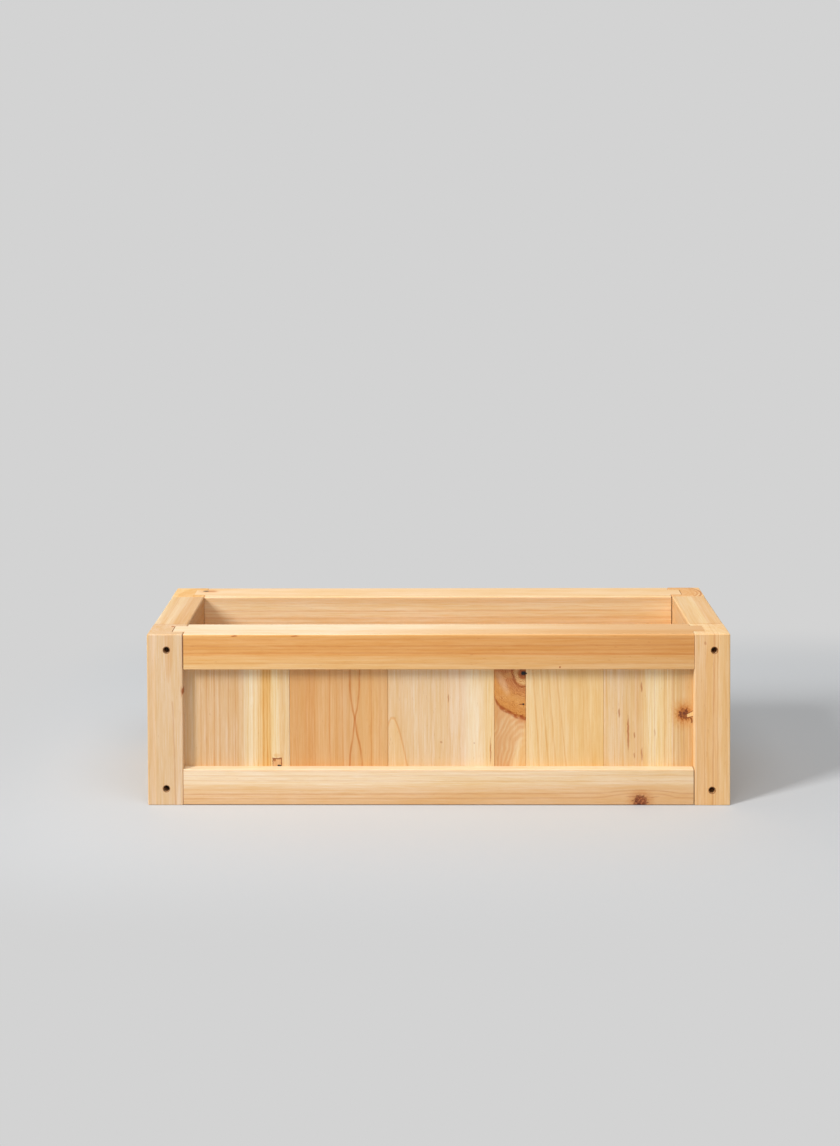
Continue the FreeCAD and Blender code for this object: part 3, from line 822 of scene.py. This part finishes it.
wood("front_stave_1", "front", "upright", [(38, 222, 186, 142), (96, 220, 183, 139),
    (104, 231, 206, 170), (113, 239, 216, 176), (121, 237, 206, 156), (123, 229, 183, 114),
    (130, 229, 182, 112), (132, 236, 206, 154), (151, 230, 199, 155)],
    band=1.2, seed=1.0, ring=2.9, wander=1.6, strength=0.6, figure=square_knot,
    course=(0.84, 0.60, 0.34),
    courses=drawn(STAVE, (0.7, 0.45, 55.4, 55.9, 55.6), (0.8, 0.45, 62.8, 62.2, 62.7),
        (0.8, 0.50, 70.2, 70.7, 70.3), (1.4, 0.50, 76.9, 76.3, 76.8), (0.9, 0.50, 86.3, 85.8, 86.2),
        (0.6, 0.45, 92.5, 92.9, 92.6), (0.8, 0.35, 100.4, 100.9, 100.5),
        (0.7, 0.45, 112.8, 112.4, 112.7), (0.6, 0.55, 117.4, 117.7, 117.2),
        (0.6, 0.6, 120.4, 120.1, 120.6), (0.9, 0.75, 123.2, 123.5, 123.1),
        (0.8, 0.75, 127.6, 127.2, 127.5), (0.7, 0.65, 130.6, 130.2, 130.4),
        (2.3, 0.45, 144.4, 144.0, 144.3)))
wood("front_stave_2", "front", "upright", [(151, 218, 166, 109), (168, 219, 168, 111),
    (172, 216, 159, 98), (177, 219, 167, 110), (195, 221, 172, 116), (216, 217, 167, 111),
    (236, 225, 177, 120), (257, 221, 173, 116)],
    seed=2.0, ring=3.1, course=(0.81, 0.54, 0.31),
    courses=[
        (1.3, 0.85,
         [(30, 229.5), (52, 228), (75, 223.5), (89, 221.5), (104, 218.5), (120, 216.6),
          (146, 216.5)]),
        (1.2, 0.85,
         [(30, 215), (37, 215.5), (52, 216.5), (75, 220), (89, 221.5), (109, 225), (146, 227)]),
        *drawn(STAVE, (0.7, 0.45, 238.6, 239.2, 238.2), (0.6, 0.35, 195.0, 194.2, 194.8),
            (0.6, 0.35, 247.0, 248.0, 247.4))])
wood("front_stave_3", "front", "upright", [(256, 228, 191, 145), (300, 229, 196, 153),
    (338, 234, 202, 164), (347, 242, 220, 184), (354, 242, 216, 175), (360, 240, 210, 164),
    (371, 240, 206, 153)],
    band=0.45, seed=3.0, ring=3.4, strength=0.2, figure=arch, course=(0.87, 0.66, 0.42),
    streaks=[(322.0, 112, 0.6, 6, 0.02, 0.7), (314, 64.5, 1.6, 1.6, 0, 0.45),
        (349.6, 63.5, 1.2, 1.2, 0, 0.4), (367.2, 55, 0.75, 18, 0, 0.8)],
    courses=[*drawn(STAVE, (0.6, 0.25, 291.6, 290.6, 290.0), (0.6, 0.30, 304.2, 303.4, 303.8),
        (0.7, 0.32, 314.4, 313.8, 313.2)),
        (0.7, 0.40, [(30, 325.6), (60, 324.2), (100, 322.4), (150, 321.4)]),
        *drawn(STAVE, (0.6, 0.30, 335.0, 334.4, 334.2), (0.5, 0.35, 363.4, 363.0, 363.2))])
wood("front_stave_4", "front", "upright", [(370, 219, 173, 120), (388, 219, 171, 118),
    (404, 223, 179, 128)],
    band=0.6, seed=4.0, ring=3.0, strength=0.15, figure=wild_figure)
wood("front_stave_5", "front", "upright", [(404, 241, 207, 153), (420, 238, 202, 147),
    (441, 237, 200, 144), (466, 236, 195, 133), (487, 236, 194, 131)],
    band=0.45, figure=knot_tip, seed=5.0, ring=4.6, lean=-0.085, strength=0.2,
    course=(0.86, 0.62, 0.34),
    courses=[(1.1, 0.6, [(30, 419.8), (60, 418.2), (100, 415.4), (146, 412.6)]),
        (1.1, 0.6, [(30, 429.4), (60, 427.6), (100, 424.2), (146, 421.0)]),
        (1.0, 0.5, [(30, 438.0), (60, 435.6), (100, 432.2), (146, 428.8)]),
        (1.0, 0.55, [(30, 449.0), (60, 446.2), (100, 442.0), (146, 437.6)]),
        *drawn(STAVE, (0.8, 0.15, 467.6, 466.8, 465.4), (0.8, 0.15, 483.9, 483.6, 483.0))])
wood("front_stave_6", "front", "upright", [(487, 235, 200, 156), (515, 233, 201, 157),
    (526, 230, 190, 140), (533, 236, 200, 146), (539, 243, 218, 172), (552, 244, 217, 170),
    (561, 240, 211, 164), (568, 224, 187, 134), (586, 223, 181, 125)],
    band=1.6, seed=6.0, ring=3.0, strength=0.7, figure=edge_knot,
    streaks=[(528.9, 124, 1.2, 7.0, 0.0, 0.62), (504.9, 96, 1.3, 6, 0.0, 0.6),
        (514.6, 75, 1.4, 22, 0.0, 0.72), (521.3, 72, 1.0, 4.0, 0.0, 0.6),
        (521.2, 50, 1.0, 4.0, 0.0, 0.5), (529.2, 51, 1.3, 9, 0.0, 0.58),
        (543.1, 75, 1.0, 5, 0.0, 0.35)],
    courses=[*drawn(STAVE, (0.8, 0.4, 543.2, 543.0, 543.4), (0.8, 0.45, 553.2, 553.4, 553.0),
        (1.6, 0.35, 563.6, 563.0, 562.4)), (0.9, 0.4, [(30, 568.8), (60, 568.4), (84, 568.0)]),
        (1.0, 0.4, [(30, 574.6), (60, 574.4), (84, 574.0)]),
        (0.8, 0.35, [(30, 580.4), (60, 580.6), (84, 580.2)])])

wood("post_front_left", "front", "upright", [(0, 222, 184, 134), (4, 222, 187, 147),
    (10, 222, 189, 152), (26, 222, 188, 148), (32, 225, 192, 153), (38, 230, 198, 162)],
    pith=(24.0, 29.0), band=0.7, holes=[(19.8, 17.9), (20.9, 167.2)], seed=7.0, ring=2.4,
    strength=0.4, end=(1.0, 0.99, 0.97), figure=pith_top(23.0, 28.5),
    streaks=[(38, 122.5, 1.4, 4.5, 0.0, 0.9), (36.6, 122.5, 0.8, 8.0, 0.0, 0.5)],
    courses=[(0.9, 0.5, [(0, 29.6), (60, 28.8), (112, 26.8)])])
# Its strip beside the staves carries a painted highlight.
wood("post_front_right", "front", "upright", [(584, 231, 190, 140), (595, 234, 190, 137),
    (603, 233, 188, 131), (610, 235, 194, 140), (622, 229, 186, 132)],
    pith=(700.0, 60.0), holes=[(602.6, 16.3), (605.1, 166.5)], figure=pale_side_highlight, seed=8.0, ring=3.2,
    strength=0.65, end=(1.06, 1.16, 1.30),
    streaks=[(595.4, 174.0, 1.5, 2.6, 0.0, 0.45)],
    courses=drawn(POST, (1.0, 0.6, 603.4, 604.0, 605.0), (0.7, 0.4, 594.6, 595.0, 595.6),
        (0.7, 0.4, 609.0, 608.6, 609.2)))
wood("post_back_right", "back", "upright", [(0, 232, 190, 136), (18, 236, 198, 146),
    (38, 228, 180, 124)],
    pith=(28.0, 22.0), holes=[(19.8, 17.9), (20.9, 167.2)], seed=11.0, ring=2.9, strength=0.55,
    end=(1.02, 1.0, 0.98), figure=red_arc(28.0, 22.0, 26.0),
    streaks=[(22.0, 128.0, 0.7, 7.0, 0.01, 0.6)],
    courses=drawn(POST, (0.8, 0.5, 12.0, 12.8, 12.2)))
wood("post_back_left", "back", "upright", [(584, 230, 184, 124), (602, 236, 198, 142),
    (622, 232, 192, 140)],
    pith=(575.0, 34.0), holes=[(602.6, 16.3), (605.1, 166.5)], seed=12.0, ring=3.1, strength=0.7,
    end=(1.03, 1.02, 0.98),
    knots=[(606.0, 66.0, 4.2, 1.3, (120, 62, 36))],
    streaks=[(594.0, 112.0, 0.6, 9.0, 0.0, 0.6)])

wood("front_top_rail", "front", "rail", [(0, 223, 167, 100), (8, 221, 162, 95), (15, 218, 158, 89),
    (21, 223, 165, 98), (28, 226, 178, 116), (38, 227, 182, 124)],
    pith=(-70.0, 10.0), band=0.5, seed=9.0, ring=4.4, strength=0.5, figure=pale_top,
    changes=[(0, (1.04, 1.05, 1.05)), (200, (1.02, 1.02, 1.02)), (440, (0.97, 0.94, 0.92)),
        (622, (0.92, 0.86, 0.80))],
    streaks=[(35.4, 441.0, 1.3, 1.3, 0.0, 0.95), (1.8, 93.5, 1.0, 4.5, 0.0, 0.8),
        (1.9, 158.0, 1.1, 6.0, 0.0, 0.55)],
    courses=drawn(RAIL, (1.1, 0.30, 5.0, 5.6, 4.8, 5.4), (1.4, 0.40, 11.6, 12.8, 12.2, 11.4),
        (0.8, 0.25, 16.4, 16.0, 16.6, 16.0), (1.0, 0.40, 21.0, 20.0, 20.8, 21.4),
        (0.7, 0.35, 32.0, 31.2, 31.8, 31.0)))
wood("front_bottom_rail", "front", "rail", [(146, 238, 206, 166), (150, 238, 210, 169),
    (160, 238, 211, 171), (166, 230, 194, 148), (172, 226, 184, 134), (184, 221, 176, 124)],
    pith=(60.0, 10.0), band=0.4, figure=pale_ledge, seed=10.0, ring=4.0, strength=0.2,
    changes=[(0, (1.02, 1.03, 1.06)), (300, (1.0, 0.99, 0.98)), (622, (0.97, 0.93, 0.89))],
    knots=[(179.8, 526.4, 7.0, 1.15, (146, 82, 46))],
    streaks=[(174.5, 517.0, 0.9, 9.0, 0.05, 0.35), (175.0, 541.0, 0.8, 8.0, -0.10, 0.3)],
    courses=[*drawn(RAIL, (0.9, 0.25, 151.6, 152.4, 151.4, 152.6),
        (0.9, 0.25, 157.0, 157.6, 158.0, 157.0)),
        (1.0, 0.45,
         [(0, 172.4), (300, 171.6), (480, 170.8), (527, 167.8), (568, 171.0), (622, 172.0)]),
        (0.9, 0.40,
         [(0, 177.0), (300, 176.6), (480, 175.4), (527, 171.2), (568, 175.6), (622, 176.8)])])

# --- the rails that show behind the front one ----------------------------------------------------

wood("back_top_rail", "back", "rail", [(0, 240, 205, 159), (6, 239, 203, 155), (12, 248, 219, 172),
    (17, 248, 214, 164), (21, 250, 219, 170), (27, 248, 211, 160), (38, 248, 208, 156)],
    pith=(-80.0, 18.0), band=0.35, seed=13.0, ring=3.6, strength=0.15, figure=knot_on_top,
    changes=[(0, (0.985, 0.96, 0.90)), (300, (1.0, 0.99, 0.96)), (622, (1.0, 1.0, 1.0))],
    courses=[*drawn(RAIL, (0.8, 0.2, 7.4, 6.8, 7.6, 7.0)),
        *drawn(RAIL_THIRDS, (0.7, 0.2, 11.8, 11.2, 12.0)),
        (1.2, 0.3, [(0, 17.0), (180, 16.2), (420, 17.2), (622, 16.4)]),
        *drawn(RAIL_THIRDS, (0.7, 0.15, 20.6, 20.0, 20.8)),
        *drawn(RAIL, (1.1, 0.3, 25.0, 24.2, 25.4, 24.6)),
        *drawn(RAIL_THIRDS, (0.9, 0.25, 31.4, 30.4, 31.2))])
wood("left_top_rail", "left", "rail", [(0, 224, 186, 139), (9, 226, 191, 147), (14, 233, 206, 165),
    (19, 227, 192, 147), (27, 229, 196, 151), (38, 218, 174, 123)],
    through=True, pith=(70.0, -90.0), seed=14.0, ring=3.4, strength=0.5, line=(0.90, 0.72, 0.54))
wood("right_top_rail", "right", "rail", [(0, 225, 180, 125), (12, 227, 184, 130),
    (24, 227, 185, 133), (30, 236, 204, 155), (38, 229, 190, 137)],
    through=True, pith=(60.0, -70.0), seed=15.0, ring=3.8, strength=0.4, line=(0.90, 0.72, 0.54))

# --- the other walls and the floor ---------------------------------------------------------------

PALE, HONEY, PINK, TAN = (238, 206, 158), (236, 193, 132), (230, 192, 147), (223, 170, 114)
CREAM = (242, 214, 171)
RED_KNOT, BLACK_KNOT, BROWN_KNOT = (156, 90, 54), (122, 74, 48), (176, 114, 68)
chance = random.Random(41)


def somewhere(low, high, margin):
    """A place on a board, away from its ends."""
    margin = min(margin, (high - low) / 3)
    return chance.uniform(low + margin, high - margin)


def bowed_line(left, right, low, high):
    """A late-wood line that bows across a board on its way along it."""
    start, bow = somewhere(left, right, 6), chance.uniform(-7, 7)
    middle = (low + high) / 2
    return [(low, start), ((low + middle) / 2, start + 0.7 * bow), (middle, start + bow),
            ((middle + high) / 2, start + 0.75 * bow), (high, start + chance.uniform(-2, 2))]


def plain_board(name, wall, lie, across, along):
    """A board that the photograph doesn't show: its own tones, rings, knots and streaks."""
    (left, right), (low, high) = across, along
    shades = chance.sample([PALE, HONEY, PINK, TAN, CREAM, HONEY], 3)
    places = sorted(somewhere(left, right, 4) for _ in range(2))
    tones = [(left, *shades[0]), (places[0], *shades[0]), (places[1] + 2, *shades[1]),
             (right, *shades[2])]
    pith = (left - chance.uniform(60, 190), chance.uniform(5, 40))
    knots = [(somewhere(left, right, 8), somewhere(low, high, 14), chance.uniform(3.0, 6.5),
              chance.uniform(1.1, 1.7), chance.choice([RED_KNOT, BLACK_KNOT, BROWN_KNOT]))
             for _ in range(chance.choice([0, 0, 0, 1, 1, 2]))]
    streaks = [(somewhere(left, right, 3), somewhere(low, high, 12), chance.uniform(0.4, 0.9),
                chance.uniform(3, 16), chance.uniform(-0.02, 0.02), chance.uniform(0.4, 0.8))
               for _ in range(chance.choice([0, 1, 2, 3]))]
    courses = [(chance.uniform(0.7, 1.3), chance.uniform(0.35, 0.75),
                bowed_line(left, right, low, high))
               for _ in range(chance.choice([0, 1, 2]))]
    wood(name, wall, lie, tones, pith=pith, lean=chance.uniform(-0.05, 0.05),
         ring=chance.uniform(2.4, 3.8), strength=chance.uniform(0.4, 0.7),
         seed=chance.uniform(20, 90), knots=knots, streaks=streaks, courses=courses)


dressed = {material.name for material in bpy.data.materials}
for name in sorted(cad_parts):
    if name in dressed or "screws" in name or "nails" in name or "staples" in name:
        continue
    lie = "rail" if "rail" in name or "cleat" in name else "slat" if "slat" in name else "upright"
    wall = next((side for side in WALLS if name.startswith(side)), "front")
    axes, corner = board_axes(wall, lie)
    ends = [Vector(point) * MM_IN_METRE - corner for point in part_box(name)]
    across, along = [sorted(end.dot(axes[number]) for end in ends) for number in (0, 2)]
    plain_board(name, wall, lie, across, along)


def steel(name, tint, roughness):
    """Driven steel, stained in small spots."""
    material, nodes, shader = new_material(name)
    place = nodes.add("TexCoord").outputs["Object"]
    stain = nodes.noise(place, scale=900.0, detail=3.0)
    bright = colour(*tint)
    dark = [value * 0.45 for value in bright[:3]] + [1.0]
    nodes.feed(shader.inputs["Base Color"],
               nodes.mixed(nodes.ranged(stain, 0.35, 0.7), bright, dark))
    nodes.feed(shader.inputs["Roughness"],
               nodes.ranged(stain, 0.3, 0.7, roughness, roughness + 0.25))
    shader.inputs["Metallic"].default_value = 1.0
    roughen(nodes, shader, stain, 0.2, 0.0001)
    return material


screw_steel = steel("screw_steel", (120, 104, 84), 0.4)
bright_steel = steel("bright_steel", (196, 196, 192), 0.3)
for name, material in (("frame_screws", screw_steel), ("cleat_screws", screw_steel),
                       ("floor_nails", bright_steel), ("stave_staples", bright_steel)):
    dress(name, material)


# --- studio --------------------------------------------------------------------------------------

BACKDROP, FLOOR = colour(211, 211, 211), colour(198, 200, 202)
LIT_MIDDLE, LIT_HALF = (0.11, 0.09, 0.0), (0.431, 0.192, 0.0)   # the floor that shows its light
AMBIENT = 0.36
PHOTO_WIDTH, FOCAL_LENGTH, FRAME_RISE = 840.0, 1440.7, -339.9   # in the photograph's pixels
SENSOR_WIDTH = 36.0
CAMERA_PLACE = (0.00094, -1.617, 0.6464)
CAMERA_YAW, CAMERA_PITCH, CAMERA_ROLL = -0.0118, 0.0228, -0.0045


def seen_rays(nodes):
    """1 for what the camera sees, straight or in a gloss, and 0 for the light on the object."""
    path = nodes.add("LightPath").outputs
    reflected = nodes.most(path["Is Glossy Ray"], path["Is Transmission Ray"])
    return nodes.most(path["Is Camera Ray"], reflected)


def blended(nodes, share, first, second, output):
    mix = nodes.add("MixShader")
    for socket, value in zip(mix.inputs, (share, first, second)):
        nodes.feed(socket, value)
    nodes.feed(output.inputs[0], mix.outputs[0])


def make_floor():
    """A pale floor that takes the box's shadow and fades into the backdrop."""
    bpy.ops.object.select_all(action="DESELECT")
    bpy.ops.mesh.primitive_plane_add(size=16.0, location=(0.0, 0.0, 0.0))
    floor = bpy.context.object
    floor.name = "studio_floor"
    material, nodes, shader = new_material("studio floor")
    shader.inputs["Roughness"].default_value = 0.9
    shader.inputs["Specular IOR Level"].default_value = 0.1
    nodes.feed(shader.inputs["Base Color"], FLOOR)
    place = nodes.add("TexCoord").outputs["Object"]
    away = nodes.apart(nodes.vector("ABSOLUTE", nodes.apart(place, LIT_MIDDLE)), LIT_HALF)
    distance = nodes.length(nodes.vector("MAXIMUM", away, (0.0, 0.0, 0.0)))
    glow = nodes.add("Emission")
    nodes.feed(glow.inputs["Color"], BACKDROP)
    share = nodes.times(nodes.ranged(distance, 0.05, 0.28), seen_rays(nodes))
    blended(nodes, share, shader.outputs[0], glow.outputs[0],
            material.node_tree.nodes["Material Output"])
    floor.data.materials.append(material)


def make_softbox(name, place, aim, width, height, power):
    lamp = bpy.data.lights.new(name, "AREA")
    lamp.shape = "RECTANGLE"
    lamp.size, lamp.size_y = width, height
    lamp.energy = power
    holder = bpy.data.objects.new(name, lamp)
    bpy.context.scene.collection.objects.link(holder)
    holder.location = place
    holder.rotation_euler = (Vector(aim) - Vector(place)).to_track_quat("-Z", "Y").to_euler()


def make_lights():
    """A white room, seen as the grey backdrop, a softbox at the left and one overhead."""
    world = bpy.data.worlds.new("studio")
    bpy.context.scene.world = world
    world.use_nodes = True
    nodes = Nodes(world.node_tree)
    kinds = {node.type: node for node in world.node_tree.nodes}
    ambient = kinds["BACKGROUND"]
    ambient.inputs["Color"].default_value = (1.0, 1.0, 1.0, 1.0)
    ambient.inputs["Strength"].default_value = AMBIENT
    backdrop = nodes.add("Background")
    nodes.feed(backdrop.inputs["Color"], BACKDROP)
    blended(nodes, seen_rays(nodes), ambient.outputs[0], backdrop.outputs[0],
            kinds["OUTPUT_WORLD"])
    make_softbox("key_softbox", (-3.40, -2.35, 2.95), (0.0, 0.0, 0.1), 0.8, 1.8, 200.0)
    make_softbox("top_softbox", (0.2, -1.0, 2.5), (0.0, -0.05, 0.0), 2.2, 1.4, 29.0)


def make_camera():
    """The camera that took the photograph, found from the box's corners and joint lines."""
    camera = bpy.data.cameras.new("camera")
    camera.sensor_fit = "HORIZONTAL"
    camera.sensor_width = SENSOR_WIDTH
    camera.lens = SENSOR_WIDTH * FOCAL_LENGTH / PHOTO_WIDTH
    camera.shift_y = FRAME_RISE / PHOTO_WIDTH
    holder = bpy.data.objects.new("camera", camera)
    bpy.context.scene.collection.objects.link(holder)
    yaw, pitch, roll = CAMERA_YAW, CAMERA_PITCH, CAMERA_ROLL
    forward = Vector((math.sin(yaw) * math.cos(pitch), math.cos(yaw) * math.cos(pitch),
                      -math.sin(pitch)))
    level = Vector((math.cos(yaw), -math.sin(yaw), 0.0))
    up = level.cross(forward)
    right = level * math.cos(roll) + up * math.sin(roll)
    up = up * math.cos(roll) - level * math.sin(roll)
    turn = Matrix((right, up, -forward)).transposed()
    holder.matrix_world = Matrix.Translation(CAMERA_PLACE) @ turn.to_4x4()
    bpy.context.scene.camera = holder


make_floor()
make_lights()
make_camera()
bpy.context.scene.view_settings.view_transform = "Standard"
